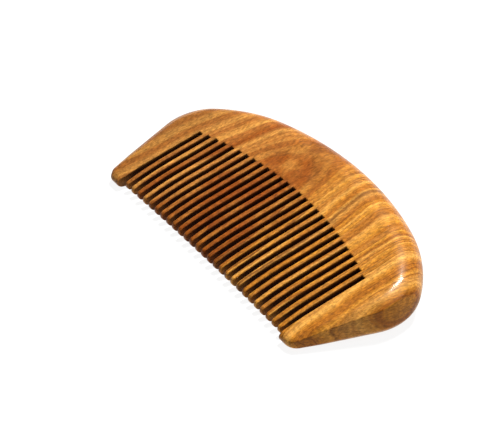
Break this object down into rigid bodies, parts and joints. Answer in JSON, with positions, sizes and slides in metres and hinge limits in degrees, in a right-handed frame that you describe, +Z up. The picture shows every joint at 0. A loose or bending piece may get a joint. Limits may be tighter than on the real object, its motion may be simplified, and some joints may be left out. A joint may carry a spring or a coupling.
{
  "type": "hair comb",
  "caption": "Half-moon wooden pocket comb: thick rounded back, straight slim teeth between two solid guard teeth, wedge section lying on a flat underside.",
  "frame": {"origin": "on the surface that the comb lies on, under the centre of its bounding box", "axes": "+X along the comb's length, +Y from the tooth tips towards the back, +Z up from the flat underside"},
  "size_m": [0.1018, 0.0494, 0.0141],
  "materials": {
    "wood": "hand-rubbed oil and wax over fine golden-brown hardwood, semi-gloss, grain along the teeth"
  },
  "bodies": {
    "root": {"back": "wood", "guard_tooth_left": "wood", "guard_tooth_right": "wood", "tooth_01": "wood", "tooth_02": "wood", "tooth_03": "wood", "tooth_04": "wood", "tooth_05": "wood", "tooth_06": "wood", "tooth_07": "wood", "tooth_08": "wood", "tooth_09": "wood", "tooth_10": "wood", "tooth_11": "wood", "tooth_12": "wood", "tooth_13": "wood", "tooth_14": "wood", "tooth_15": "wood", "tooth_16": "wood", "tooth_17": "wood", "tooth_18": "wood", "tooth_19": "wood", "tooth_20": "wood", "tooth_21": "wood", "tooth_22": "wood", "tooth_23": "wood", "tooth_24": "wood", "tooth_25": "wood", "tooth_26": "wood", "tooth_27": "wood"}
  },
  "joints": []
}
